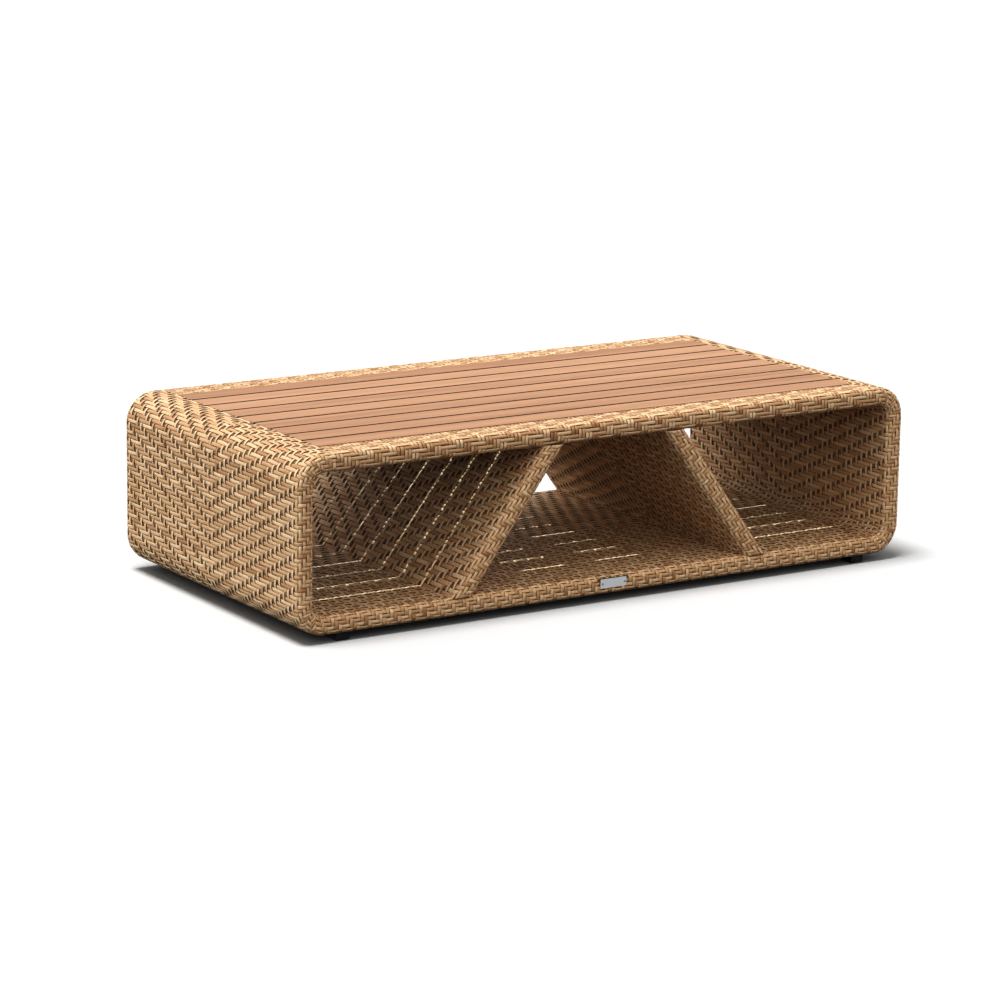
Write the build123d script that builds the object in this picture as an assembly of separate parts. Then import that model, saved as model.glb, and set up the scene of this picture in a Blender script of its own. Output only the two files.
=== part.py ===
from build123d import *
import os
from math import atan2, cos, degrees

# Wicker coffee table: a woven ring with rounded corners, two slanted woven
# dividers, a deck, and a top of nine teak slats, on a welded aluminium frame.
# Millimetres.  X runs along the table, Y from front to back, Z up.
# The origin is on the floor under the middle of the table.

# ---- overall size -------------------------------------------------------
LENGTH = 1400.0
DEPTH = 684.0
HEIGHT = 356.0
FOOT_HEIGHT = 14.0            # gap between the floor and the woven body
BAND = 37.0                   # thickness of the woven ring, walls and deck
OUTER_RADIUS = 60.0           # rounding of the ring's four corners
EDGE_RADIUS = 12.0            # rounding of the woven front and back edges

# ---- wicker skin and frame tube ------------------------------------------
SKIN = 3.5                    # two crossing layers of flat strip
TUBE = BAND - 2 * SKIN        # square tube inside the woven ring
TUBE_WALL = 2.0
TUBE_CORNER = 6.0
CAVITY_CORNER = 5.0
BEND_CLEARANCE = 1.0          # the bent tube keeps clear of the skin in the bends
HOOP_WELD_X = 560.0           # where the bent ends are welded to the straight rails
CROSS_WIDTH = 25.0            # cross tubes next to the bends
CROSS_HEIGHT = 28.0

# ---- slatted top ----------------------------------------------------------
SLAT_COUNT = 9
SLAT_PITCH = 61.5
SLAT_WIDTH = 56.5
SLAT_THICKNESS = 18.0
SLAT_LENGTH = 1237.0
SLAT_EDGE = 1.5
TOP_RECESS = 0.4              # the slats lie this far below the woven rim
PANEL_HALF_LENGTH = 619.0     # half the opening in the woven rim, along the table
PANEL_HALF_WIDTH = 275.0      # half the opening in the woven rim, across the table
BATTEN_THICKNESS = 10.0
END_BATTEN_WIDTH = 54.0
MIDDLE_BATTEN_WIDTH = 60.0

# ---- dividers --------------------------------------------------------------
DIVIDER_THICKNESS = 38.0
DIVIDER_TOP_X = 140.5         # middle of the divider where it meets the rim
DIVIDER_FOOT_X = 341.0        # middle of the divider where it meets the deck

# ---- feet and plate ---------------------------------------------------------
FOOT_X = 600.0
FOOT_FRONT = 335.0            # outer face of a foot, from the middle of the table
FOOT_WIDTH = 28.0
FOOT_DEPTH = 40.0
FOOT_CHAMFER = 2.0
FOOT_SCREW_DIAMETER = 6.0
FOOT_SCREW_HEAD = 11.0
FOOT_SCREW_HEAD_HEIGHT = 4.0
FOOT_SCREW_RECESS = 6.0
FOOT_HEAD_CLEARANCE = 1.0     # the recess is this much wider than the screw head
FOOT_SCREW_GRIP = 6.0         # how far a foot screw runs into the bent tube
PLATE_WIDTH = 60.0
PLATE_HEIGHT = 18.0
PLATE_THICKNESS = 1.2
PLATE_MIDDLE_Z = 36.0
PLATE_CORNER = 1.0
PLATE_POCKET = 2.0
RIVET_DIAMETER = 4.0
RIVET_HEAD = 0.8
RIVET_CHAMFER = 0.25
RIVET_SPACING = 52.0
SCREW_DIAMETER = 4.0
SCREW_HEAD = 8.0
SCREW_HEAD_HEIGHT = 2.5
SCREW_DEPTH = 12.0            # how far a slat screw goes into the slat
HOLE_CLEARANCE = 0.4

# ---- heights and depths worked out from the sizes above ---------------------
DECK_TOP = FOOT_HEIGHT + BAND
RIM_BOTTOM = HEIGHT - BAND
TUBE_LOW = FOOT_HEIGHT + SKIN
TUBE_LOW_TOP = TUBE_LOW + TUBE
TUBE_HIGH = RIM_BOTTOM + SKIN
TUBE_HIGH_TOP = TUBE_HIGH + TUBE
HOOP_OUT = DEPTH / 2 - SKIN
HOOP_IN = HOOP_OUT - TUBE
SLAT_RAIL_IN = HOOP_IN - TUBE
MIDDLE_Z = (FOOT_HEIGHT + HEIGHT) / 2
BODY_HEIGHT = HEIGHT - FOOT_HEIGHT
SLAT_TOP = HEIGHT - TOP_RECESS
SLAT_BOTTOM = SLAT_TOP - SLAT_THICKNESS
BATTEN_BOTTOM = SLAT_BOTTOM - BATTEN_THICKNESS
LEAN = (DIVIDER_FOOT_X - DIVIDER_TOP_X) / (RIM_BOTTOM - DECK_TOP)
LEAN_ANGLE = degrees(atan2(LEAN, 1.0))
LEAN_COS = cos(atan2(LEAN, 1.0))
FAR = 2 * LENGTH              # longer than anything that is trimmed
CUT_PAST = 1.0                # how far a cut runs past the face that it opens
NEAR = 0.01                   # two places closer than this are the same


def block(x, y, z):
    """A box from three (low, high) pairs."""
    size = [high - low for low, high in (x, y, z)]
    middle = [(high + low) / 2 for low, high in (x, y, z)]
    return Pos(*middle) * Box(*size)


def box_tube(x, y, z, axis, wall=TUBE_WALL):
    """A rectangular tube with rounded corners, open at both ends along axis."""
    solid = block(x, y, z)
    solid = fillet(solid.edges().filter_by(axis), TUBE_CORNER)
    spans = [(low + wall, high - wall) for low, high in (x, y, z)]
    spans["XYZ".index(axis_name(axis))] = (-FAR, FAR)
    bore = block(*spans)
    bore = fillet(bore.edges().filter_by(axis), TUBE_CORNER - wall)
    return solid - bore


def axis_name(axis):
    """X, Y or Z for one of the three main axes."""
    return {Axis.X: "X", Axis.Y: "Y", Axis.Z: "Z"}[axis]


def upright_section(sketch, y_low, y_high):
    """Extrude a section drawn in X and Z between two depths."""
    plane = Plane((0, y_high, 0), x_dir=(1, 0, 0), z_dir=(0, -1, 0))
    return extrude(plane * sketch, amount=y_high - y_low)


def bent_band(outer_inset, inner_inset, y_low, y_high, x_end, corner, clearance=0.0):
    """The left end of the rounded ring, as a C-shaped bar with rounded long edges."""
    outer = RectangleRounded(
        LENGTH - 2 * outer_inset,
        BODY_HEIGHT - 2 * outer_inset,
        OUTER_RADIUS - outer_inset + clearance,
    )
    inner = RectangleRounded(
        LENGTH - 2 * inner_inset,
        BODY_HEIGHT - 2 * inner_inset,
        OUTER_RADIUS - inner_inset - clearance,
    )
    ring = Pos(0, MIDDLE_Z) * (outer - inner)
    band = upright_section(ring, y_low, y_high)
    band = band & block((-FAR, x_end), (-FAR, FAR), (-FAR, FAR))
    sides = [e for e in band.edges() if e.center().X < x_end - NEAR and lies_in_side(e, y_low, y_high)]
    return fillet(sides, corner)


def lies_in_side(edge, y_low, y_high):
    """True for an edge that runs in the front or the back face of a band."""
    y_values = [point.Y for point in (edge @ 0, edge @ 0.5, edge @ 1)]
    in_low = all(abs(y - y_low) < NEAR for y in y_values)
    in_high = all(abs(y - y_high) < NEAR for y in y_values)
    return in_low or in_high


def mirrored(solid):
    """The same piece on the other side of the table, left to right."""
    return mirror(solid, about=Plane.YZ)


def turned_back(solid):
    """The same piece on the other side of the table, front to back."""
    return mirror(solid, about=Plane.XZ)


# ---- aluminium frame ---------------------------------------------------------
def end_tube(screw_holes):
    """Front left bent tube: top bend, upright and bottom bend in one piece."""
    y_low, y_high = -HOOP_OUT, -HOOP_IN
    solid = bent_band(
        SKIN, SKIN + TUBE, y_low, y_high, -HOOP_WELD_X, TUBE_CORNER, BEND_CLEARANCE
    )
    bore = bent_band(
        SKIN + TUBE_WALL,
        SKIN + TUBE - TUBE_WALL,
        y_low + TUBE_WALL,
        y_high - TUBE_WALL,
        -HOOP_WELD_X,
        TUBE_CORNER - TUBE_WALL,
        BEND_CLEARANCE,
    )
    return solid - bore - screw_holes


def long_rail(z_low):
    """Straight tube of the front hoop, between the two bent ends."""
    return box_tube(
        (-HOOP_WELD_X, HOOP_WELD_X), (-HOOP_OUT, -HOOP_IN), (z_low, z_low + TUBE), Axis.X
    )


def slat_rail():
    """Tube behind the front top rail, which carries the battens of the top."""
    end = PANEL_HALF_LENGTH + SKIN
    return box_tube((-end, end), (-HOOP_IN, -SLAT_RAIL_IN), (TUBE_HIGH, TUBE_HIGH_TOP), Axis.X)


def corner_cross_tube(z_low):
    """Cross tube from the front hoop to the rear one, beside the left bends."""
    right = -PANEL_HALF_LENGTH - SKIN
    middle = z_low + TUBE / 2
    z = (middle - CROSS_HEIGHT / 2, middle + CROSS_HEIGHT / 2)
    return box_tube((right - CROSS_WIDTH, right), (-HOOP_IN, HOOP_IN), z, Axis.Y)


def wall_cross_tube():
    """Cross tube half way up the left end wall."""
    left = -LENGTH / 2 + SKIN
    z = (MIDDLE_Z - TUBE / 2, MIDDLE_Z + TUBE / 2)
    return box_tube((left, left + TUBE), (-HOOP_IN, HOOP_IN), z, Axis.Y)


def deck_cross_tube(x_middle):
    """Cross tube under the deck."""
    x = (x_middle - TUBE / 2, x_middle + TUBE / 2)
    return box_tube(x, (-HOOP_IN, HOOP_IN), (TUBE_LOW, TUBE_LOW_TOP), Axis.Y)


def leaning_section(thickness, z_low, z_high):
    """Section of the left divider between two heights."""
    half = thickness / 2 / LEAN_COS
    low_x = -DIVIDER_TOP_X - LEAN * (RIM_BOTTOM - z_low)
    high_x = -DIVIDER_TOP_X - LEAN * (RIM_BOTTOM - z_high)
    return Polygon(
        (low_x - half, z_low),
        (low_x + half, z_low),
        (high_x + half, z_high),
        (high_x - half, z_high),
        align=None,
    )


def leaning_bar(thickness, z_low, z_high, y_low, y_high, corner):
    """Leaning bar of the left divider with its long edges rounded."""
    bar = upright_section(leaning_section(thickness, z_low, z_high), y_low, y_high)
    long_edges = [
        e for e in bar.edges()
        if lies_in_side(e, y_low, y_high) and abs((e @ 0).Z - (e @ 1).Z) > NEAR
    ]
    return fillet(long_edges, corner)


def divider_post_body():
    """Outside of the front post of the left divider."""
    thickness = DIVIDER_THICKNESS - 2 * SKIN
    return leaning_bar(thickness, TUBE_LOW_TOP, TUBE_HIGH, -HOOP_OUT, -HOOP_IN, TUBE_CORNER)


def divider_post():
    """Front post of the left divider, an open tube between deck and rim rails."""
    thickness = DIVIDER_THICKNESS - 2 * SKIN - 2 * TUBE_WALL
    bore = leaning_bar(
        thickness,
        TUBE_LOW_TOP,
        TUBE_HIGH,
        -HOOP_OUT + TUBE_WALL,
        -HOOP_IN - TUBE_WALL,
        TUBE_CORNER - TUBE_WALL,
    )
    return divider_post_body() - bore


def divider_cross_tube():
    """Cross tube between the two posts of the left divider, half way up."""
    width = DIVIDER_THICKNESS - 2 * SKIN
    tube = box_tube(
        (-width / 2, width / 2), (-HOOP_IN, HOOP_IN), (-width / 2, width / 2), Axis.Y
    )
    middle_x = -(DIVIDER_TOP_X + DIVIDER_FOOT_X) / 2
    return Pos(middle_x, 0, (RIM_BOTTOM + DECK_TOP) / 2) * (Rot(0, LEAN_ANGLE, 0) * tube)


# ---- slatted top ----------------------------------------------------------------
def batten(x_low, x_high, z_low, screws):
    """Flat bar under the slats, from the front slat rail to the rear one."""
    bar = block((x_low, x_high), (-SLAT_RAIL_IN, SLAT_RAIL_IN), (z_low, SLAT_BOTTOM))
    return bar - screws


def batten_spans():
    """Name, left side, right side and underside of each batten."""
    half = DIVIDER_THICKNESS / 2 / LEAN_COS
    end = PANEL_HALF_LENGTH
    middle = MIDDLE_BATTEN_WIDTH / 2
    return [
        ("left_end_batten", -end, -end + END_BATTEN_WIDTH, BATTEN_BOTTOM),
        ("left_divider_batten", -DIVIDER_TOP_X - half, -DIVIDER_TOP_X + half, RIM_BOTTOM),
        ("middle_batten", -middle, middle, BATTEN_BOTTOM),
        ("right_divider_batten", DIVIDER_TOP_X - half, DIVIDER_TOP_X + half, RIM_BOTTOM),
        ("right_end_batten", end - END_BATTEN_WIDTH, end, BATTEN_BOTTOM),
    ]


def slat_middle(index):
    """Y of the middle of a slat, counted from the front."""
    return (index - (SLAT_COUNT - 1) / 2) * SLAT_PITCH


def slat_screw_places():
    """X, Y and underside of the batten for every slat screw."""
    return [
        ((x_low + x_high) / 2, slat_middle(index), z_low)
        for _, x_low, x_high, z_low in batten_spans()
        for index in range(SLAT_COUNT)
    ]


def rod(x, y, z_low, z_high, diameter):
    """An upright round bar between two heights."""
    return Pos(x, y, (z_low + z_high) / 2) * Cylinder(diameter / 2, z_high - z_low)


def slat_screw(x, y, z_low):
    """Pan-head screw driven up through a batten into a slat."""
    shank = rod(x, y, z_low, SLAT_BOTTOM + SCREW_DEPTH, SCREW_DIAMETER)
    head = rod(x, y, z_low - SCREW_HEAD_HEIGHT, z_low, SCREW_HEAD)
    return shank + head


def slat_screw_holes():
    """Clearance round every slat screw."""
    diameter = SCREW_DIAMETER + HOLE_CLEARANCE
    top = SLAT_BOTTOM + SCREW_DEPTH + HOLE_CLEARANCE
    return Compound([rod(x, y, z_low, top, diameter) for x, y, z_low in slat_screw_places()])


def slat(index, holes):
    """One teak slat with eased long edges."""
    middle = slat_middle(index)
    bar = block(
        (-SLAT_LENGTH / 2, SLAT_LENGTH / 2),
        (middle - SLAT_WIDTH / 2, middle + SLAT_WIDTH / 2),
        (SLAT_BOTTOM, SLAT_TOP),
    )
    bar = fillet(bar.edges().filter_by(Axis.X), SLAT_EDGE)
    return bar - holes


# ---- woven skins -----------------------------------------------------------------
def end_wicker():
    """Skin round the left end: top band, end wall and the turn into the deck."""
    body = bent_band(0, BAND, -DEPTH / 2, DEPTH / 2, -PANEL_HALF_LENGTH, EDGE_RADIUS)
    inner_end = -PANEL_HALF_LENGTH - SKIN
    cavity = bent_band(SKIN, SKIN + TUBE, -HOOP_OUT, HOOP_OUT, inner_end, CAVITY_CORNER)
    mouth = (inner_end, -PANEL_HALF_LENGTH)
    deck_mouth = rounded_cavity(mouth, (-HOOP_OUT, HOOP_OUT), (TUBE_LOW, TUBE_LOW_TOP))
    front_mouth = rounded_cavity(mouth, (-HOOP_OUT, -SLAT_RAIL_IN), (TUBE_HIGH, TUBE_HIGH_TOP))
    return body - cavity - deck_mouth - front_mouth - turned_back(front_mouth)


def rounded_cavity(x, y, z):
    """Room inside a woven skin that runs along the table."""
    space = block(x, y, z)
    return fillet(space.edges().filter_by(Axis.X), CAVITY_CORNER)


def rim_wicker(frame_pieces):
    """Skin round the front rim of the top."""
    x = (-PANEL_HALF_LENGTH, PANEL_HALF_LENGTH)
    body = block(x, (-DEPTH / 2, -PANEL_HALF_WIDTH), (RIM_BOTTOM, HEIGHT))
    long_edges = body.edges().filter_by(Axis.X)
    body = fillet(long_edges.group_by(Axis.Y)[0], EDGE_RADIUS)
    cavity = rounded_cavity(x, (-HOOP_OUT, -SLAT_RAIL_IN), (TUBE_HIGH, TUBE_HIGH_TOP))
    return body - cavity - frame_pieces


def deck_wicker(frame_pieces):
    """Skin round the deck, with room for the name plate in its front face."""
    x = (-PANEL_HALF_LENGTH, PANEL_HALF_LENGTH)
    body = block(x, (-DEPTH / 2, DEPTH / 2), (FOOT_HEIGHT, DECK_TOP))
    body = fillet(body.edges().filter_by(Axis.X), EDGE_RADIUS)
    cavity = rounded_cavity(x, (-HOOP_OUT, HOOP_OUT), (TUBE_LOW, TUBE_LOW_TOP))
    pocket = block(
        (-PLATE_WIDTH / 2, PLATE_WIDTH / 2),
        (-DEPTH / 2 - CUT_PAST, -DEPTH / 2 + PLATE_POCKET),
        (PLATE_MIDDLE_Z - PLATE_HEIGHT / 2, PLATE_MIDDLE_Z + PLATE_HEIGHT / 2),
    )
    return body - cavity - frame_pieces - pocket


def divider_wicker():
    """Skin round the left divider, open where it meets the deck and the rim."""
    half_depth = DEPTH / 2
    body = leaning_bar(
        DIVIDER_THICKNESS, DECK_TOP, RIM_BOTTOM, -half_depth, half_depth, EDGE_RADIUS
    )
    cavity = leaning_bar(
        DIVIDER_THICKNESS - 2 * SKIN,
        DECK_TOP,
        RIM_BOTTOM,
        -HOOP_OUT,
        HOOP_OUT,
        CAVITY_CORNER,
    )
    return body - cavity


# ---- feet and plate ----------------------------------------------------------------
def foot_middle_y():
    """Y of the middle of a front foot."""
    return -FOOT_FRONT + FOOT_DEPTH / 2


def foot_outline():
    """Front left foot before its screw hole is cut."""
    body = block(
        (-FOOT_X - FOOT_WIDTH / 2, -FOOT_X + FOOT_WIDTH / 2),
        (-FOOT_FRONT, -FOOT_FRONT + FOOT_DEPTH),
        (0, TUBE_LOW),
    )
    return chamfer(body.edges().group_by(Axis.Z)[0], FOOT_CHAMFER)


def foot():
    """Nylon block under a corner, with a recess for its screw."""
    y = foot_middle_y()
    shank_diameter = FOOT_SCREW_DIAMETER + HOLE_CLEARANCE
    head_diameter = FOOT_SCREW_HEAD + FOOT_HEAD_CLEARANCE
    shank_hole = rod(-FOOT_X, y, -CUT_PAST, TUBE_LOW + CUT_PAST, shank_diameter)
    head_hole = rod(-FOOT_X, y, -CUT_PAST, FOOT_SCREW_RECESS, head_diameter)
    return foot_outline() - shank_hole - head_hole


def foot_screw():
    """Screw that holds the front left foot to the bent tube."""
    y = foot_middle_y()
    head_low = FOOT_SCREW_RECESS - FOOT_SCREW_HEAD_HEIGHT
    head = rod(-FOOT_X, y, head_low, FOOT_SCREW_RECESS, FOOT_SCREW_HEAD)
    shank = rod(-FOOT_X, y, FOOT_SCREW_RECESS, TUBE_LOW + FOOT_SCREW_GRIP, FOOT_SCREW_DIAMETER)
    return head + shank


def foot_screw_hole():
    """Hole for the foot screw in the bent tube."""
    diameter = FOOT_SCREW_DIAMETER + HOLE_CLEARANCE
    return rod(-FOOT_X, foot_middle_y(), 0, TUBE_LOW + TUBE_WALL + CUT_PAST, diameter)


def at_four_corners(solid):
    """Front left, front right, rear left and rear right copies of a piece."""
    right = mirrored(solid)
    return [solid, right, turned_back(solid), turned_back(right)]


def plate_rivet(x):
    """Small rivet at one end of the name plate, seen from the front."""
    radius = RIVET_DIAMETER / 2
    face = -DEPTH / 2 + RIVET_HEAD
    head = Pos(x, face - RIVET_HEAD / 2, PLATE_MIDDLE_Z) * Rot(90, 0, 0) * Cylinder(radius, RIVET_HEAD)
    return chamfer(head.edges().group_by(Axis.Y)[0], RIVET_CHAMFER)


def name_plate():
    """Blank aluminium plate let into the front of the deck skin."""
    front = -DEPTH / 2 + RIVET_HEAD
    plate = block(
        (-PLATE_WIDTH / 2, PLATE_WIDTH / 2),
        (front, front + PLATE_THICKNESS),
        (PLATE_MIDDLE_Z - PLATE_HEIGHT / 2, PLATE_MIDDLE_Z + PLATE_HEIGHT / 2),
    )
    return fillet(plate.edges().filter_by(Axis.Y), PLATE_CORNER)


# ---- the whole table ------------------------------------------------------------------
CORNERS = ["front_left", "front_right", "rear_left", "rear_right"]


def frame_nodes():
    """Every tube of the aluminium frame, by node name."""
    nodes = {}
    for corner, tube in zip(CORNERS, at_four_corners(end_tube(foot_screw_hole()))):
        nodes[corner + "_bent_tube"] = tube
    for corner, post in zip(CORNERS, at_four_corners(divider_post())):
        depth_word, side = corner.split("_")
        nodes[side + "_divider_" + depth_word + "_post"] = post
    fronts = {
        "top_rail": long_rail(TUBE_HIGH),
        "bottom_rail": long_rail(TUBE_LOW),
        "slat_rail": slat_rail(),
    }
    for name, rail in fronts.items():
        nodes["front_" + name] = rail
        nodes["rear_" + name] = turned_back(rail)
    lefts = {
        "top_cross_tube": corner_cross_tube(TUBE_HIGH),
        "bottom_cross_tube": corner_cross_tube(TUBE_LOW),
        "wall_cross_tube": wall_cross_tube(),
        "deck_cross_tube": deck_cross_tube(-DIVIDER_FOOT_X),
        "divider_cross_tube": divider_cross_tube(),
    }
    for name, tube in lefts.items():
        nodes["left_" + name] = tube
        nodes["right_" + name] = mirrored(tube)
    nodes["middle_deck_cross_tube"] = deck_cross_tube(0)
    return nodes


def top_nodes():
    """Battens, slats and their screws, by node name."""
    holes = slat_screw_holes()
    nodes = {}
    for name, x_low, x_high, z_low in batten_spans():
        nodes[name] = batten(x_low, x_high, z_low, holes)
    for index in range(SLAT_COUNT):
        nodes["slat_%d" % (index + 1)] = slat(index, holes)
    nodes["slat_screws"] = Compound([slat_screw(*place) for place in slat_screw_places()])
    return nodes


def wicker_nodes():
    """The woven skins, by node name."""
    posts = at_four_corners(divider_post_body())
    feet = at_four_corners(foot_outline())
    battens = [
        block((x_low, x_high), (-SLAT_RAIL_IN, SLAT_RAIL_IN), (z_low, SLAT_BOTTOM))
        for _, x_low, x_high, z_low in batten_spans()
    ]
    front_rim = rim_wicker(posts + battens)
    left_end = end_wicker()
    left_divider = divider_wicker()
    return {
        "left_end_wicker": left_end,
        "right_end_wicker": mirrored(left_end),
        "front_rim_wicker": front_rim,
        "rear_rim_wicker": turned_back(front_rim),
        "deck_wicker": deck_wicker(posts + feet),
        "left_divider_wicker": left_divider,
        "right_divider_wicker": mirrored(left_divider),
    }


def small_nodes():
    """Feet, foot screws, name plate and rivets, by node name."""
    nodes = {}
    for corner, block_foot in zip(CORNERS, at_four_corners(foot())):
        nodes[corner + "_foot"] = block_foot
    nodes["foot_screws"] = Compound(at_four_corners(foot_screw()))
    nodes["name_plate"] = name_plate()
    half = RIVET_SPACING / 2
    nodes["name_plate_rivets"] = Compound([plate_rivet(-half), plate_rivet(half)])
    return nodes


os.makedirs("parts", exist_ok=True)
for nodes in (frame_nodes(), top_nodes(), wicker_nodes(), small_nodes()):
    for node_name, node_solid in nodes.items():
        export_step(node_solid, "parts/%s.step" % node_name)
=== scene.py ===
import math

import bpy
import numpy as np
from mathutils import Matrix, Vector


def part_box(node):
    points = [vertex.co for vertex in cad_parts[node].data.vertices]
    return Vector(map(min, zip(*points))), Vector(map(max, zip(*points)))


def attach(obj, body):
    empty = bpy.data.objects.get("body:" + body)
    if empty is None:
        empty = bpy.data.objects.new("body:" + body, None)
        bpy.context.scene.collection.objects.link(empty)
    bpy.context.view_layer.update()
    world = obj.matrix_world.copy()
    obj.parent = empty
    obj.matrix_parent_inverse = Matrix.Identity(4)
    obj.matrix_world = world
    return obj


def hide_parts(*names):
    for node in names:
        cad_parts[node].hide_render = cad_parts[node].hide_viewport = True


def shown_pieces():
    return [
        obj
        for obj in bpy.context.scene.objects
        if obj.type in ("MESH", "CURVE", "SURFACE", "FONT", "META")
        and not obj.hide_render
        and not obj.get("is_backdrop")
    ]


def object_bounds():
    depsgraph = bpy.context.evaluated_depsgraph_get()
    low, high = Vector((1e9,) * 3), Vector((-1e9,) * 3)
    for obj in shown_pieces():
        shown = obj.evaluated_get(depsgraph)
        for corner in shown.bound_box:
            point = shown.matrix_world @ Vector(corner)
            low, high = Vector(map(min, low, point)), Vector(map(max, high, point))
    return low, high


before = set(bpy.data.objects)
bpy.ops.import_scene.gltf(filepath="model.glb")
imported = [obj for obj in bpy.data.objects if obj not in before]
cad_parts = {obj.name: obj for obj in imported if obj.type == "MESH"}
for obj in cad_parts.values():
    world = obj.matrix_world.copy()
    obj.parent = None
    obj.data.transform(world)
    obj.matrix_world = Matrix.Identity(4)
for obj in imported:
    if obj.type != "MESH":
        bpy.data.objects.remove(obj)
cad_low, cad_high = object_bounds()

# Looks of the wicker coffee table.  Metres, in the frame of the imported part:
# X along the table, Y from front to back, Z up, floor at Z = 0.
# Every woven skin is real strip: thin solid ribbons that pass over and under each
# other in a 2/2 twill, over a dark lining whose darkness is painted shade seen
# through the gaps.  "Loops" run round a section of the skin and "rows" run along it.

rng = np.random.default_rng(731)

# ---- sizes read from the frame ------------------------------------------------
LENGTH = cad_high.x - cad_low.x
DEPTH = cad_high.y - cad_low.y
HEIGHT = cad_high.z
DECK_LOW, DECK_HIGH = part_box("deck_wicker")
RIM_LOW, RIM_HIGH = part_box("front_rim_wicker")
DIVIDER_LOW, DIVIDER_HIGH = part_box("right_divider_wicker")
PLATE_LOW, PLATE_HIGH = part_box("name_plate")
BAND = DECK_HIGH.z - DECK_LOW.z
PANEL_HALF = DECK_HIGH.x
SLAT_LOW, SLAT_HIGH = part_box("slat_1")
NEXT_SLAT_LOW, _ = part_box("slat_2")
SLAT_PITCH = NEXT_SLAT_LOW.y - SLAT_LOW.y

# ---- sizes of the weave ----------------------------------------------------------
OUTER_RADIUS = 0.060
EDGE_RADIUS = 0.012
INNER_EDGE_RADIUS = 0.004
DIVIDER_THICKNESS = 0.038
STRIP_PITCH = 0.0079
STRIP_WIDTH = 0.0076
WARP_PITCH = 0.0161
WARP_WIDTH = 0.0068
EDGE_ROWS = 6                  # rows on a narrow face and its rounded edges
EDGE_ROW_PITCH = 0.0083
EDGE_ROW_WIDTH = 0.0067
STRIP_THICKNESS = 0.0012
WAVE = 0.0009                  # how far a strip rises and dips at a crossing
BULGE = 0.0002                 # how much more it rises between two crossings
MIDDLE_DEPTH = 0.0018          # from the outside of the skin to its middle
LINING_DEPTH = 0.0032
PAIR_OFFSET = 0.0039           # loops round a rim lie in pairs, this far from the pair's middle
PAIR_GAP = 0.0009
RIM_ROW_SHARE = 0.80           # width of a rim's rows in their pitch
FLAT_SHARE = 0.42              # a loop lies level this far each side of a row's middle, in its width
WANDER = 0.0004                # how far a strip strays sideways
WANDER_WAVES = (0.31, 0.13, 0.057)
RISE_SCATTER = 0.00006         # scatter of a strip's height
WIDTH_SCATTER = (0.96, 1.03)   # narrowest and widest loop, in strip widths
TINT_SCATTER = 0.11
GRAIN_STARTS = 9               # each strip's grain starts somewhere along this many metres
LINING_FACE_STEP = 0.05
LINING_ARC_STEPS = 6
RING_LINING_STEP = 0.006
RIM_LINING_STEP = 0.02
DIVIDER_LINING_STEP = 0.008
DECK_PIECES = 4                # the deck's weave is cut into this many objects
# Outline of a strip's cross section: across in widths, height in thicknesses.
PROFILE = np.array([(-0.5, -0.10), (-0.43, 0.38), (0.0, 0.52), (0.43, 0.38), (0.5, -0.10)])
LOOP_TINTS = np.array([0.80, 0.35, 0.75, 0.45, 0.50, 0.80, 0.30, 0.60])
ROW_TINTS = np.array([0.95, 0.85, 0.55, 0.95, 0.80, 0.90, 0.60, 0.50])
RIM_LOOP_TINTS = np.array([0.45, 0.85, 0.25, 0.60, 0.90, 0.20])
RIM_ROW_TINTS = np.array([0.95, 0.30, 0.85, 0.45])


# ---- surfaces that the strips follow -------------------------------------------------
class Outline:
    """Straight runs and arcs, one after another, followed by distance.

    Each run is (start, end); each arc is (centre, radius, first angle, last angle).
    Offsets are measured towards the outside.
    """

    def __init__(self, parts):
        self.parts = []
        at = 0.0
        for part in parts:
            if len(part) == 2:
                start, end = (np.array(p, float) for p in part)
                size = np.linalg.norm(end - start)
                along = (end - start) / size
                self.parts.append((at, size, "run", start, along))
            else:
                centre, radius, first, last = part
                size = radius * abs(last - first)
                self.parts.append((at, size, "arc", np.array(centre, float), part))
            at += size
        self.size = at

    def point(self, distance, offset):
        """Points at these distances, moved outwards by these offsets."""
        distance, offset = np.broadcast_arrays(distance, offset)
        out = np.zeros(distance.shape + (2,))
        last_part = len(self.parts) - 1
        for index, (at, size, kind, origin, shape) in enumerate(self.parts):
            inside = (distance >= at) if index else np.ones(distance.shape, bool)
            if index < last_part:
                inside = inside & (distance < at + size)
            step = distance[inside] - at
            away = offset[inside]
            if kind == "run":
                outward = np.array([shape[1], -shape[0]])
                out[inside] = origin + step[:, None] * shape + away[:, None] * outward
            else:
                _, radius, first, last = shape
                angle = first + step / radius * np.sign(last - first)
                reach = radius + away * np.sign(last - first)
                out[inside] = origin + reach[:, None] * np.stack([np.cos(angle), np.sin(angle)], -1)
        return out


def section_outline(half_width, thickness, front_radius, back_radius):
    """Closed outline of a skin, in (Y, depth), from the front end of its outer face."""
    quarter = math.pi / 2
    left, right = -half_width, half_width
    f, b, t = front_radius, back_radius, thickness
    return Outline([
        ((left + f, 0), (right - b, 0)),
        ((right - b, b), b, -quarter, 0.0),
        ((right, b), (right, t - b)),
        ((right - b, t - b), b, 0.0, quarter),
        ((right - b, t), (left + f, t)),
        ((left + f, t - f), f, quarter, 2 * quarter),
        ((left, t - f), (left, f)),
        ((left + f, f), f, 2 * quarter, 3 * quarter),
    ])


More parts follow.
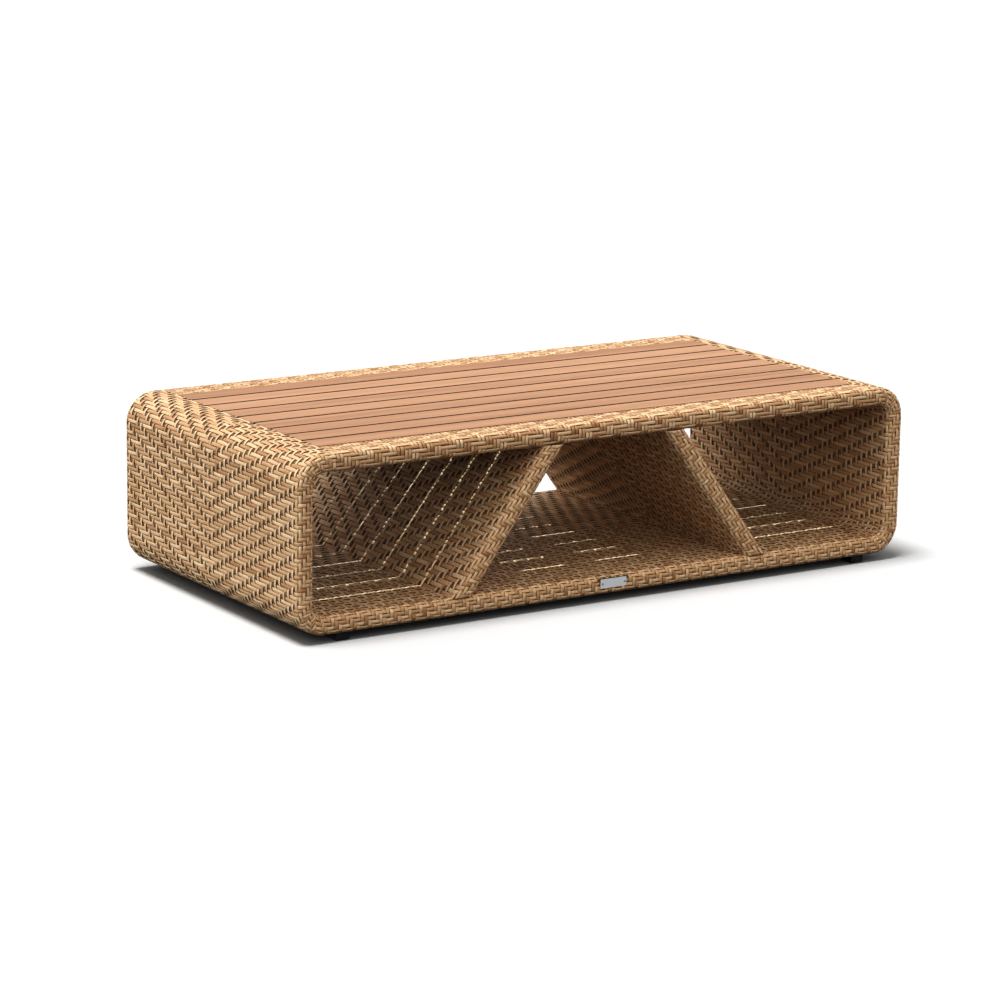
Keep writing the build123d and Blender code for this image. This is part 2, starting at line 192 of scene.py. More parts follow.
def ring_outline():
    """Outside of the ring in (X, Z), from the left end of the slats round to the right end."""
    r, half, low = OUTER_RADIUS, LENGTH / 2, DECK_LOW.z
    quarter = math.pi / 2
    return Outline([
        ((-PANEL_HALF, HEIGHT), (-half + r, HEIGHT)),
        ((-half + r, HEIGHT - r), r, quarter, 2 * quarter),
        ((-half, HEIGHT - r), (-half, low + r)),
        ((-half + r, low + r), r, 2 * quarter, 3 * quarter),
        ((-half + r, low), (half - r, low)),
        ((half - r, low + r), r, 3 * quarter, 4 * quarter),
        ((half, low + r), (half, HEIGHT - r)),
        ((half - r, HEIGHT - r), r, 0.0, quarter),
        ((half - r, HEIGHT), (PANEL_HALF, HEIGHT)),
    ])


def smooth_step(value):
    """0 below 0, 1 above 1, smooth between."""
    value = np.clip(value, 0.0, 1.0)
    return value * value * (3 - 2 * value)


PLATE_MARGIN = 0.003           # the weave is pressed in this far round the name plate
PLATE_FADE = 0.007
PLATE_PRESS = 0.0030
PLATE_REACH = 0.02             # only weave this close behind the plate's face moves


def pressed_behind_plate(points):
    """The same points, pushed back where the name plate lies on the weave."""
    centre = (PLATE_LOW + PLATE_HIGH) / 2
    half = (PLATE_HIGH - PLATE_LOW) / 2
    out_x = np.abs(points[..., 0] - centre.x) - half.x - PLATE_MARGIN
    out_z = np.abs(points[..., 2] - centre.z) - half.z - PLATE_MARGIN / 3
    outside = np.maximum(out_x, out_z * 2)
    press = smooth_step(1 - outside / PLATE_FADE) * (points[..., 1] < PLATE_HIGH.y + PLATE_REACH)
    points[..., 1] += press * PLATE_PRESS
    return points


def ring_surface():
    """The ring: both ends and the deck, as one surface."""
    section = section_outline(DEPTH / 2, BAND, EDGE_RADIUS, EDGE_RADIUS)
    path = ring_outline()

    def surface(s, q, h):
        across = section.point(q, h)
        along = path.point(s, -across[..., 1])
        points = np.stack([along[..., 0], across[..., 0], along[..., 1]], -1)
        return pressed_behind_plate(points)

    return surface, section, path.size


def rim_surface(side):
    """The front (side -1) or rear (side 1) rim of the top."""
    width = RIM_HIGH.y - RIM_LOW.y
    radii = (EDGE_RADIUS, INNER_EDGE_RADIUS) if side < 0 else (INNER_EDGE_RADIUS, EDGE_RADIUS)
    section = section_outline(width / 2, RIM_HIGH.z - RIM_LOW.z, *radii)
    middle_y = side * (DEPTH / 2 - width / 2)

    def surface(s, q, h):
        across = section.point(q, h)
        x = np.broadcast_to(s - PANEL_HALF, across.shape[:-1])
        return np.stack([x, middle_y + across[..., 0], HEIGHT - across[..., 1]], -1)

    return surface, section, 2 * PANEL_HALF


DIVIDER_FAN = 0.070            # near its ends a divider's section turns from square to level
DIVIDER_TUCK = 0.0025          # its strips end this far inside the rim and the deck
FAN_POWER = 1.5                # how late the turn begins
WIDTH_STEPS = 20               # fixed-point steps, more than the width needs


def divider_surface(side):
    """The left (side -1) or right (side 1) divider, from the rim down to the deck."""
    section = section_outline(DEPTH / 2, DIVIDER_THICKNESS, EDGE_RADIUS, EDGE_RADIUS)
    drop = DIVIDER_HIGH.z - DIVIDER_LOW.z
    # The low and the high end are parallelogram corners: the box is the run plus one level width.
    level_width = level_divider_width(drop)
    run = DIVIDER_HIGH.x - DIVIDER_LOW.x - level_width
    size = math.hypot(run, drop)
    down = np.array([run, -drop]) / size
    outward = np.array([drop, run]) / size
    top = np.array([DIVIDER_LOW.x + level_width / 2, DIVIDER_HIGH.z])

    def surface(s, q, h):
        across = section.point(q, h)
        s = s * (size + 2 * DIVIDER_TUCK) / size - DIVIDER_TUCK
        inset = DIVIDER_THICKNESS / 2 - across[..., 1]
        nearness = 1 - np.minimum(s, size - s) / DIVIDER_FAN
        turn = np.clip(nearness, 0, 1) ** FAN_POWER
        step = s + inset * run / drop * turn
        flat = top + step[..., None] * down + inset[..., None] * outward
        return np.stack([side * flat[..., 0], across[..., 0], flat[..., 1]], -1)

    return surface, section, size


def level_divider_width(drop):
    """Level width of a leaning divider, from its thickness and the size of its box."""
    box_width = DIVIDER_HIGH.x - DIVIDER_LOW.x
    width = DIVIDER_THICKNESS
    for _ in range(WIDTH_STEPS):
        run = box_width - width
        width = DIVIDER_THICKNESS * math.hypot(run, drop) / drop
    return width


# ---- strips -------------------------------------------------------------------------
def wobble(count, distance, size):
    """A slow sideways wander for each strip along its length."""
    total = np.zeros((count, distance.size))
    for wave in WANDER_WAVES:
        start = rng.uniform(0, 2 * math.pi, (count, 1))
        total += np.sin(distance[None, :] * (2 * math.pi / wave) + start)
    return total * size / len(WANDER_WAVES)


def heights(over, closed, samples_per_crossing):
    """Height of each strip at its samples: at every crossing, and half way to the next."""
    level = np.where(over, WAVE, -WAVE)
    following = np.roll(level, -1, axis=1)
    if not closed:
        following[:, -1] = level[:, -1]
    between = (level + following) / 2
    between = between + np.where(between != 0, np.sign(between) * BULGE, 0.0)
    parts = [level] * (samples_per_crossing - 1) + [between]
    return np.stack(parts, axis=2).reshape(level.shape[0], -1)


def ribbon(surface, line, side_position, height, width, lines_are_loops, tint):
    """Vertices and per-vertex values of a set of strips.

    line: positions along the strips (K); side_position: (M, K); height: (M, K).
    """
    across = side_position[:, :, None] + width[:, None, None] * PROFILE[:, 0]
    lift = (height[:, :, None] - MIDDLE_DEPTH) + STRIP_THICKNESS * PROFILE[:, 1]
    along = np.broadcast_to(line[None, :, None], across.shape)
    if lines_are_loops:
        points = surface(across, along, lift)
    else:
        points = surface(along, across, lift)
    start = rng.uniform(0, GRAIN_STARTS, (len(tint), 1, 1))
    values = np.stack([
        np.broadcast_to(PROFILE[:, 0] + 0.5, across.shape),
        along + start,
        np.broadcast_to(tint[:, None, None], across.shape),
    ], -1)
    depth = np.broadcast_to((height / WAVE)[:, :, None], across.shape)
    return points, values, depth


PROBE_ACROSS = 0.02
PROBE_STEP = 1e-4


def is_right_handed(surface, size):
    """Whether along, across and outwards are a right-handed set on this surface."""
    start = np.array([size / 2, PROBE_ACROSS, 0.0])
    steps = np.vstack([np.zeros(3), PROBE_STEP * np.eye(3)])
    origin, along, across, outward = (surface(*(start + step)[:, None])[0] for step in steps)
    return np.dot(np.cross(along - origin, across - origin), outward - origin) > 0


class Weave:
    """All strips of one skin, cut into pieces afterwards."""

    def __init__(self, surface, size, loops, rows, perimeter):
        """loops: (positions, widths, phases, tints); rows: the same, round the section."""
        loop_s, loop_width, loop_phase, loop_tint = loops
        row_q, row_width, row_phase, row_tint = rows
        over = ((row_phase[None, :] + loop_phase[:, None]) % 4) < 2
        next_q = np.roll(row_q, -1)
        next_q[-1] += perimeter
        flat = row_width * FLAT_SHARE
        line = np.stack([row_q - flat, row_q + flat, (row_q + next_q) / 2], 1).ravel()
        shift = wobble(len(loop_s), line, WANDER)
        rise = heights(over, True, 3) + rng.normal(0, RISE_SCATTER, (len(loop_s), line.size))
        self.loops = ribbon(surface, line, loop_s[:, None] + shift, rise, loop_width, True, loop_tint)
        middles = np.append((loop_s[1:] + loop_s[:-1]) / 2, size)
        line = np.append(0.0, np.stack([loop_s, middles], 1).ravel())
        shift = wobble(len(row_q), line, WANDER)
        rise = heights(~over.T, False, 2)
        rise = np.concatenate([rise[:, :1], rise], 1)
        rise = rise + rng.normal(0, RISE_SCATTER, (len(row_q), line.size))
        self.rows = ribbon(surface, line, row_q[:, None] + shift, rise, row_width, False, row_tint)
        self.loop_count = len(loop_s)
        self.right_handed = is_right_handed(surface, size)

    def piece(self, name, first, last):
        """One object with loops first..last-1 and the matching stretch of every row."""
        loops = [part[first:last] for part in self.loops]
        stretch = slice(2 * first, 2 * last + 1)
        rows = [part[:, stretch] for part in self.rows]
        builder = MeshBuilder()
        builder.add(*loops, closed=True, flipped=self.right_handed)
        builder.add(*rows, closed=False, flipped=not self.right_handed)
        return builder.finish(name)


class MeshBuilder:
    """Gathers strips and makes one mesh object from them."""

    def __init__(self):
        self.points, self.values, self.depths = [], [], []
        self.faces, self.sizes, self.count = [], [], 0

    def add(self, points, values, depth, closed, flipped):
        strips, steps, corners = points.shape[:3]
        index = self.count + np.arange(strips * steps * corners).reshape(strips, steps, corners)
        here = index if closed else index[:, :-1]
        there = np.roll(index, -1, axis=1) if closed else index[:, 1:]
        here_next, there_next = np.roll(here, -1, axis=2), np.roll(there, -1, axis=2)
        quads = np.stack([here, here_next, there_next, there], -1).reshape(-1, 4)
        ends = [] if closed else [index[:, 0, ::-1], index[:, -1, :]]
        if flipped:
            quads = quads[:, ::-1]
            ends = [end[:, ::-1] for end in ends]
        for block in [quads] + ends:
            self.faces.append(block.ravel())
            self.sizes.append(np.full(len(block), block.shape[1]))
        self.points.append(points.reshape(-1, 3))
        self.values.append(values.reshape(-1, 3))
        self.depths.append(depth.reshape(-1))
        self.count += strips * steps * corners

    def finish(self, name):
        mesh = mesh_from_arrays(
            name,
            np.concatenate(self.points),
            np.concatenate(self.faces),
            np.concatenate(self.sizes),
        )
        strip = mesh.attributes.new("strip", "FLOAT_VECTOR", "POINT")
        strip.data.foreach_set("vector", np.concatenate(self.values).astype(np.float32).ravel())
        depth = mesh.attributes.new("strip_height", "FLOAT", "POINT")
        depth.data.foreach_set("value", np.concatenate(self.depths).astype(np.float32))
        return linked_object(name, mesh)


def mesh_from_arrays(name, points, corners, sizes):
    """A smooth-shaded mesh from flat arrays of points, face corners and face sizes."""
    mesh = bpy.data.meshes.new(name)
    mesh.vertices.add(len(points))
    mesh.vertices.foreach_set("co", points.astype(np.float32).ravel())
    mesh.loops.add(len(corners))
    mesh.loops.foreach_set("vertex_index", corners.astype(np.int32))
    mesh.polygons.add(len(sizes))
    starts = np.concatenate([[0], np.cumsum(sizes)[:-1]])
    mesh.polygons.foreach_set("loop_start", starts.astype(np.int32))
    mesh.polygons.foreach_set("use_smooth", np.ones(len(sizes), bool))
    mesh.update(calc_edges=True)
    return mesh


def linked_object(name, mesh):
    """A new object in the scene for this mesh."""
    made = bpy.data.objects.new(name, mesh)
    bpy.context.scene.collection.objects.link(made)
    return made


def lining(name, surface, section, size, step, flipped):
    """Closed lining under the strips of one skin; its dark colour is painted shade."""
    along = np.linspace(0, size, int(size / step) + 1)
    around = []
    for at, length, kind, _, _ in section.parts:
        count = LINING_ARC_STEPS if kind == "arc" else max(2, int(length / LINING_FACE_STEP))
        around.extend(at + length * np.arange(count) / count)
    s, q = np.meshgrid(along, np.array(around), indexing="ij")
    points = surface(s, q, np.full(s.shape, -LINING_DEPTH))
    index = np.arange(s.size).reshape(s.shape)
    here, there = index[:-1], index[1:]
    quads = np.stack([here, np.roll(here, -1, 1), np.roll(there, -1, 1), there], -1).reshape(-1, 4)
    ends = np.stack([index[0, ::-1], index[-1]])
    if not flipped:
        quads, ends = quads[:, ::-1], ends[:, ::-1]
    corners = np.concatenate([quads.ravel(), ends.ravel()])
    sizes = np.concatenate([np.full(len(quads), 4), np.full(2, ends.shape[1])])
    return linked_object(name, mesh_from_arrays(name, points.reshape(-1, 3), corners, sizes))


def evenly(size, pitch):
    """Positions that fill a length with about this pitch, and the exact pitch."""
    count = round(size / pitch)
    exact = size / count
    return (np.arange(count) + 0.5) * exact, exact


def jittered_tints(table, count):
    """Tint of each strip: a repeating table with some scatter."""
    scatter = rng.normal(0, TINT_SCATTER, count)
    return np.clip(table[np.arange(count) % len(table)] + scatter, 0, 1)


def broad_section_rows(section):
    """Rows round a wide flat section: wide pitch on the broad faces, close on the edges."""
    face = section.parts[0][1]
    edge = section.parts[4][0] - face
    half_count = int((face / 2 - WARP_WIDTH / 2) / WARP_PITCH)
    broad = np.arange(-half_count, half_count + 1)
    edge_rows = (np.arange(EDGE_ROWS) - (EDGE_ROWS - 1) / 2) * EDGE_ROW_PITCH
    positions, widths, phases = [], [], []
    face_phase = np.abs(broad)
    edge_phase = half_count + 1 + np.arange(EDGE_ROWS)
    inner_phase = edge_phase[-1] + 1 + half_count - np.abs(broad)
    for start, phase in ((0.0, face_phase), (face + edge, inner_phase)):
        rising = start == 0.0
        positions.extend([start + face / 2 + broad * WARP_PITCH, start + face + edge / 2 + edge_rows])
        widths.extend([np.full(broad.size, WARP_WIDTH), np.full(EDGE_ROWS, EDGE_ROW_WIDTH)])
        phases.extend([phase, edge_phase if rising else edge_phase[::-1]])
    positions, widths, phases = map(np.concatenate, (positions, widths, phases))
    return positions, widths, phases, jittered_tints(ROW_TINTS, positions.size)


def banded_weave(surface, section, size):
    """Weave with close loops round the section, as on the ring and the dividers."""
    loop_s, pitch = evenly(size, STRIP_PITCH)
    widths = np.full(loop_s.size, STRIP_WIDTH * pitch / STRIP_PITCH)
    widths = widths * rng.uniform(*WIDTH_SCATTER, loop_s.size)
    tints = jittered_tints(LOOP_TINTS, loop_s.size)
    loops = (loop_s, widths, np.arange(loop_s.size), tints)
    return Weave(surface, size, loops, broad_section_rows(section), section.size)


def rim_weave(surface, section, size):
    """Weave with rows along the rim and loops round it in pairs."""
    pair_s, pair_pitch = evenly(size, WARP_PITCH)
    loop_s = (pair_s[:, None] + PAIR_OFFSET * np.array([-1, 1])).ravel()
    widths = np.full(loop_s.size, pair_pitch / 2 - PAIR_GAP)
    tints = jittered_tints(np.repeat(RIM_LOOP_TINTS, 2), loop_s.size)
    loops = (loop_s, widths, np.arange(loop_s.size) // 2, tints)
    row_q, row_pitch = evenly(section.size, EDGE_ROW_PITCH)
    rows = (
        row_q,
        np.full(row_q.size, row_pitch * RIM_ROW_SHARE),
        np.arange(row_q.size),
        jittered_tints(RIM_ROW_TINTS, row_q.size),
    )
    return Weave(surface, size, loops, rows, section.size)


# ---- materials --------------------------------------------------------------------------
class Nodes:
    """Short way to build a node tree.  An input called i3 is input number 3."""

    def __init__(self, name):
        self.material = bpy.data.materials.new(name)
        self.material.use_nodes = True
        self.tree = self.material.node_tree
        self.shader = self.tree.nodes["Principled BSDF"]

    def add(self, kind, settings=None, **inputs):
        node = self.tree.nodes.new(kind)
        for key, value in (settings or {}).items():
            setattr(node, key, value)
        for key, value in inputs.items():
            by_number = key[0] == "i" and key[1:].isdigit()
            self.put(node.inputs[int(key[1:]) if by_number else key], value)
        return node

    def put(self, socket, value):
        if isinstance(value, bpy.types.NodeSocket):
            self.tree.links.new(value, socket)
        else:
            socket.default_value = value

    def maths(self, operation, a, b=0.0, clamp=False):
        node = self.add("ShaderNodeMath", {"operation": operation, "use_clamp": clamp}, i0=a, i1=b)
        return node.outputs[0]

    def noise(self, vector, scale, detail, roughness=0.5):
        node = self.add(
            "ShaderNodeTexNoise", Vector=vector, Scale=scale, Detail=detail, Roughness=roughness
        )
        return node.outputs["Fac"]

    def ramp(self, value, stops):
        node = self.add("ShaderNodeValToRGB", Fac=value)
        band = node.color_ramp
        while len(band.elements) < len(stops):
            band.elements.new(0.5)
        for element, (place, colour) in zip(band.elements, stops):
            element.position = place
            element.color = (*colour, 1.0)
        return node.outputs["Color"]

    def mix(self, factor, a, b):
        node = self.add("ShaderNodeMix", {"data_type": "RGBA"}, i0=factor, i6=a, i7=b)
        return node.outputs[2]

    def fade(self, value, start, end, most, kind="SMOOTHSTEP"):
        """0 before start, rising to most at end."""
        limits = {"From Min": start, "From Max": end, "To Min": 0.0, "To Max": most}
        node = self.add("ShaderNodeMapRange", {"interpolation_type": kind}, Value=value, **limits)
        return node.outputs[0]

    def bump(self, height, distance, strength):
        node = self.add("ShaderNodeBump", Height=height, Distance=distance, Strength=strength)
        return node.outputs["Normal"]

    def object_point(self):
        return self.add("ShaderNodeTexCoord").outputs["Object"]

    def scaled(self, vector, scale):
        node = self.add("ShaderNodeVectorMath", {"operation": "MULTIPLY"}, i0=vector, i1=scale)
        return node.outputs[0]


def linear(red, green, blue):
    """Linear colour from sRGB numbers of 0 to 255."""
    return tuple(
        c / 12.92 if c <= 0.04045 else ((c + 0.055) / 1.055) ** 2.4
        for c in (red / 255, green / 255, blue / 255)
    )


STRAW = linear(238, 204, 163)
STRAW_WARM = linear(213, 171, 128)
BARK = linear(182, 135, 94)
EDGE_SHADE = linear(84, 46, 18)
# Colour of the painted shade where a strip dips under the strips that cross it.
GAP = linear(58, 26, 8)
EDGE_DARK_START = 0.40         # painted shade: a strip's sides darken from here, in widths from its middle
EDGE_DARK_END = 0.50
EDGE_DARKNESS = 0.50
LOW_DARK_START = -0.1          # painted shade: a strip darkens as it dips under crossing strips, in heights of its wave
LOW_DARK_END = -1.1
LOW_DARKNESS = 0.66


def strip_material():
    """Flat synthetic strip: tints by strip, streaks and fine grooves along it, with painted shade along
    its sides and where it dips under crossing strips.
    """
    n = Nodes("woven_strip")
    strip = n.add("ShaderNodeAttribute", {"attribute_name": "strip"}).outputs["Vector"]
    parts = n.add("ShaderNodeSeparateXYZ", Vector=strip)
    across, along, tint = parts.outputs
    height = n.add("ShaderNodeAttribute", {"attribute_name": "strip_height"}).outputs["Fac"]
    place = n.add("ShaderNodeCombineXYZ", X=along, Y=tint, Z=0.0).outputs[0]
    slow = n.noise(n.scaled(place, (9.0, 40.0, 1.0)), 1.0, 2.0)
    streak_place = n.add(
        "ShaderNodeCombineXYZ",
        X=n.maths("MULTIPLY", along, 30.0),
        Y=n.maths("MULTIPLY", across, 9.0),
        Z=n.maths("MULTIPLY", tint, 70.0),
    ).outputs[0]
    streak = n.noise(streak_place, 1.0, 3.0, 0.6)
    mixed = n.maths("ADD", tint, n.maths("MULTIPLY", n.maths("SUBTRACT", slow, 0.5), 1.1))
    mixed = n.maths("ADD", mixed, n.maths("MULTIPLY", n.maths("SUBTRACT", streak, 0.5), 0.55), clamp=True)
    colour = n.ramp(mixed, [(0.0, BARK), (0.45, STRAW_WARM), (1.0, STRAW)])
    # Painted shade along each strip's sides, where it meets its neighbours.
    edge = n.maths("ABSOLUTE", n.maths("SUBTRACT", across, 0.5))
    painted_edge_shade = n.fade(edge, EDGE_DARK_START, EDGE_DARK_END, EDGE_DARKNESS)
    colour = n.mix(painted_edge_shade, colour, (*EDGE_SHADE, 1.0))
    # Painted shade where a strip dips under the strips that cross it.
    painted_dip_shade = n.fade(height, LOW_DARK_START, LOW_DARK_END, LOW_DARKNESS)
    colour = n.mix(painted_dip_shade, colour, (*GAP, 1.0))
    n.put(n.shader.inputs["Base Color"], colour)
    grooves = n.add(
        "ShaderNodeTexWave", {"wave_type": "BANDS", "bands_direction": "Y"},
        Vector=streak_place, Scale=1.4, Distortion=1.5, Detail=1.0,
    ).outputs["Fac"]
    relief = n.maths("ADD", n.maths("MULTIPLY", grooves, 0.5), n.maths("MULTIPLY", streak, 0.6))
    n.put(n.shader.inputs["Normal"], n.bump(relief, 0.00025, 0.7))
    rough = n.maths("ADD", 0.42, n.maths("MULTIPLY", streak, 0.25))
    n.put(n.shader.inputs["Roughness"], rough)
    n.shader.inputs["Specular IOR Level"].default_value = 0.35
    return n.material


LINING_PAINTED_SHADE_DARK = linear(20, 9, 3)
LINING_PAINTED_SHADE_LIGHT = linear(46, 24, 10)


def painted_shade_lining_material():
    """Dark sheet under the weave, coloured as the shade seen through its gaps: painted shade."""
    n = Nodes("weave_painted_shade_lining")
    place = n.object_point()
    mottled = n.noise(n.scaled(place, (180.0, 60.0, 180.0)), 1.0, 3.0)
    # Painted shade: the lining takes the dark colour of the shade inside the weave.
    n.put(n.shader.inputs["Base Color"], n.ramp(mottled, [(0.3, LINING_PAINTED_SHADE_DARK), (0.7, LINING_PAINTED_SHADE_LIGHT)]))
    n.put(n.shader.inputs["Normal"], n.bump(mottled, 0.0008, 0.6))
    n.put(n.shader.inputs["Roughness"], n.maths("ADD", 0.6, n.maths("MULTIPLY", mottled, 0.3)))
    return n.material


TEAK_LIGHT = linear(196, 152, 118)
TEAK_MID = linear(183, 139, 105)
TEAK_DARK = linear(165, 120, 88)
TEAK_PORE = linear(122, 78, 50)
TEAK_GAP_SHADE = linear(26, 10, 4)
GAP_SHADE_START = 0.00005      # painted shade: the sides of the slats darken from this far below their top
GAP_SHADE_END = 0.0003
GAP_DARKNESS = 0.95
PORE_DARKNESS = 0.50


def teak_material():
    """Oiled teak: long fine grain, pores, slow bands, each slat its own tone, and painted shade on the
    slats' sides in the gaps.
    """
    n = Nodes("teak")
    place = n.object_point()
    parts = n.add("ShaderNodeSeparateXYZ", Vector=place)
    slat = n.maths("FLOOR", n.maths("ADD", n.maths("DIVIDE", parts.outputs["Y"], SLAT_PITCH), 0.5))
    shade = n.add("ShaderNodeTexWhiteNoise", {"noise_dimensions": "1D"}, W=slat).outputs["Value"]
    board = n.add(
        "ShaderNodeCombineXYZ",
        X=n.maths("ADD", parts.outputs["X"], n.maths("MULTIPLY", slat, 3.7)),
        Y=parts.outputs["Y"],
        Z=n.maths("ADD", parts.outputs["Z"], n.maths("MULTIPLY", slat, 1.3)),
    ).outputs[0]
    bands = n.noise(n.scaled(board, (2.2, 60.0, 60.0)), 1.0, 4.0, 0.55)
    fibre = n.noise(n.scaled(board, (14.0, 900.0, 900.0)), 1.0, 3.0, 0.6)
    pores = n.noise(n.scaled(board, (70.0, 1500.0, 1500.0)), 1.0, 2.0, 0.5)
    mixed = n.maths("ADD", n.maths("MULTIPLY", bands, 0.75), n.maths("MULTIPLY", fibre, 0.35))
    mixed = n.maths("ADD", mixed, n.maths("MULTIPLY", n.maths("SUBTRACT", shade, 0.5), 0.22))
    colour = n.ramp(mixed, [(0.30, TEAK_DARK), (0.52, TEAK_MID), (0.78, TEAK_LIGHT)])
    dark_pore = n.fade(pores, 0.62, 0.75, PORE_DARKNESS, kind="LINEAR")
    colour = n.mix(dark_pore, colour, (*TEAK_PORE, 1.0))
    # Painted shade on the sides of the slats, down in the gaps between them.
    shade_top, shade_full = SLAT_HIGH.z - GAP_SHADE_START, SLAT_HIGH.z - GAP_SHADE_END
    painted_gap_shade = n.fade(parts.outputs["Z"], shade_top, shade_full, GAP_DARKNESS)
    colour = n.mix(painted_gap_shade, colour, (*TEAK_GAP_SHADE, 1.0))
    n.put(n.shader.inputs["Base Color"], colour)
    relief = n.maths("SUBTRACT", n.maths("MULTIPLY", fibre, 0.6), dark_pore)
    n.put(n.shader.inputs["Normal"], n.bump(relief, 0.00012, 0.6))
    n.put(n.shader.inputs["Roughness"], n.maths("ADD", 0.48, n.maths("MULTIPLY", fibre, 0.2)))
    n.shader.inputs["Specular IOR Level"].default_value = 0.3
    return n.material


def coated_metal_material(name, colour, metallic):
    """Powder-coated or plain metal with a fine orange-peel surface."""
    n = Nodes(name)
    place = n.object_point()
    peel = n.noise(place, 1400.0, 2.0)
    cloud = n.noise(place, 25.0, 3.0)
    dark = tuple(c * 0.7 for c in colour)
    n.put(n.shader.inputs["Base Color"], n.ramp(cloud, [(0.3, dark), (0.7, colour)]))
    n.put(n.shader.inputs["Normal"], n.bump(peel, 0.0001, 0.5))
    n.put(n.shader.inputs["Roughness"], n.maths("ADD", 0.35, n.maths("MULTIPLY", cloud, 0.25)))
    n.shader.inputs["Metallic"].default_value = metallic
    return n.material


PLATE_DARK = linear(226, 226, 228)
PLATE_LIGHT = linear(248, 248, 250)


def brushed_plate_material():
    """Pale satin plate with fine brushed lines along it."""
    n = Nodes("brushed_plate")
    place = n.object_point()
    lines = n.noise(n.scaled(place, (60.0, 3000.0, 3000.0)), 1.0, 2.0, 0.6)
    cloud = n.noise(place, 60.0, 2.0)
    n.put(n.shader.inputs["Base Color"], n.ramp(lines, [(0.25, PLATE_DARK), (0.75, PLATE_LIGHT)]))
    n.put(n.shader.inputs["Normal"], n.bump(lines, 0.00005, 0.6))
    rough = n.maths("ADD", 0.3, n.maths("MULTIPLY", n.maths("ADD", lines, cloud), 0.12))
    n.put(n.shader.inputs["Roughness"], rough)
    n.shader.inputs["Metallic"].default_value = 0.1
    return n.material


NYLON_DARK = linear(18, 18, 20)
NYLON_SCUFF = linear(46, 46, 48)


def foot_material():
    """Black moulded nylon with a fine grained surface and scuffs low down."""
    n = Nodes("nylon_foot")
    place = n.object_point()
    grain = n.noise(place, 1800.0, 2.0)
    scuff = n.noise(n.scaled(place, (300.0, 300.0, 90.0)), 1.0, 3.0)
    n.put(n.shader.inputs["Base Color"], n.ramp(scuff, [(0.45, NYLON_DARK), (0.75, NYLON_SCUFF)]))
    n.put(n.shader.inputs["Normal"], n.bump(grain, 0.0002, 0.5))
    n.put(n.shader.inputs["Roughness"], n.maths("ADD", 0.45, n.maths("MULTIPLY", scuff, 0.3)))
    return n.material


FLOOR_PALE = (0.97, 0.97, 0.97)
FLOOR_WHITE = (0.99, 0.99, 0.99)
FLOOR_BOUNCE = (0.10, 0.10, 0.10)


def floor_material():
    """Plain pale studio floor.  It is seen white, but throws little light back up."""
    n = Nodes("studio_floor")
    cloud = n.noise(n.object_point(), 0.7, 2.0)
    n.put(n.shader.inputs["Base Color"], n.ramp(cloud, [(0.3, FLOOR_PALE), (0.7, FLOOR_WHITE)]))
    n.shader.inputs["Roughness"].default_value = 0.9
    n.shader.inputs["Specular IOR Level"].default_value = 0.0
    dull = n.add("ShaderNodeBsdfDiffuse", Color=(*FLOOR_BOUNCE, 1.0))
    path = n.add("ShaderNodeLightPath")
    seen = path.outputs["Is Camera Ray"]
    both = n.add("ShaderNodeMixShader", i0=seen, i1=dull.outputs[0], i2=n.shader.outputs[0])
    n.put(n.tree.nodes["Material Output"].inputs["Surface"], both.outputs[0])
    return n.material


def dress(thing, material):
    """Give an object this one material."""
    thing.data.materials.clear()
    thing.data.materials.append(material)


# ---- the woven pieces -----------------------------------------------------------------
STRIP = strip_material()
LINING = painted_shade_lining_material()


def put_on_table(piece, material, replaced=()):
    """Material, body and replaced nodes of a woven piece."""
    dress(piece, material)
    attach(piece, "root")
    if replaced:
        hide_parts(*replaced)


def add_ring():
    """Both ends and the deck."""
    surface, section, size = ring_surface()
    weave = banded_weave(surface, section, size)
    end_size = (size - 2 * PANEL_HALF) / 2
    end_loops = round(end_size / size * weave.loop_count)
    half_end = end_loops // 2
    total = weave.loop_count
    deck_cuts = np.linspace(end_loops, total - end_loops, DECK_PIECES + 1).round().astype(int)
    spans = [
        ("left_end_weave_upper", 0, half_end, ("left_end_wicker",)),
        ("left_end_weave_lower", half_end, end_loops, ()),
        ("right_end_weave_lower", total - end_loops, total - half_end, ()),
        ("right_end_weave_upper", total - half_end, total, ("right_end_wicker",)),
    ]
    for index in range(DECK_PIECES):
        replaced = ("deck_wicker",) if index == 0 else ()
        spans.append(("deck_weave_%d" % (index + 1), deck_cuts[index], deck_cuts[index + 1], replaced))
    for name, first, last, replaced in spans:
        put_on_table(weave.piece(name, first, last), STRIP, replaced)
    inner = lining("ring_lining", surface, section, size, RING_LINING_STEP, weave.right_handed)
    put_on_table(inner, LINING)


def add_rims():
    """Front and rear rims of the top."""
    for word, side in (("front", -1), ("rear", 1)):
        surface, section, size = rim_surface(side)
        weave = rim_weave(surface, section, size)
        piece = weave.piece(word + "_rim_weave", 0, weave.loop_count)
        put_on_table(piece, STRIP, (word + "_rim_wicker",))
        name = word + "_rim_lining"
        inner = lining(name, surface, section, size, RIM_LINING_STEP, weave.right_handed)
        put_on_table(inner, LINING)


def add_dividers():
    """Left and right slanted dividers."""
    for word, side in (("left", -1), ("right", 1)):
        surface, section, size = divider_surface(side)
        weave = banded_weave(surface, section, size)
        piece = weave.piece(word + "_divider_weave", 0, weave.loop_count)
        put_on_table(piece, STRIP, (word + "_divider_wicker",))
        name = word + "_divider_lining"
        inner = lining(name, surface, section, size, DIVIDER_LINING_STEP, weave.right_handed)
        put_on_table(inner, LINING)


add_ring()
add_rims()
add_dividers()


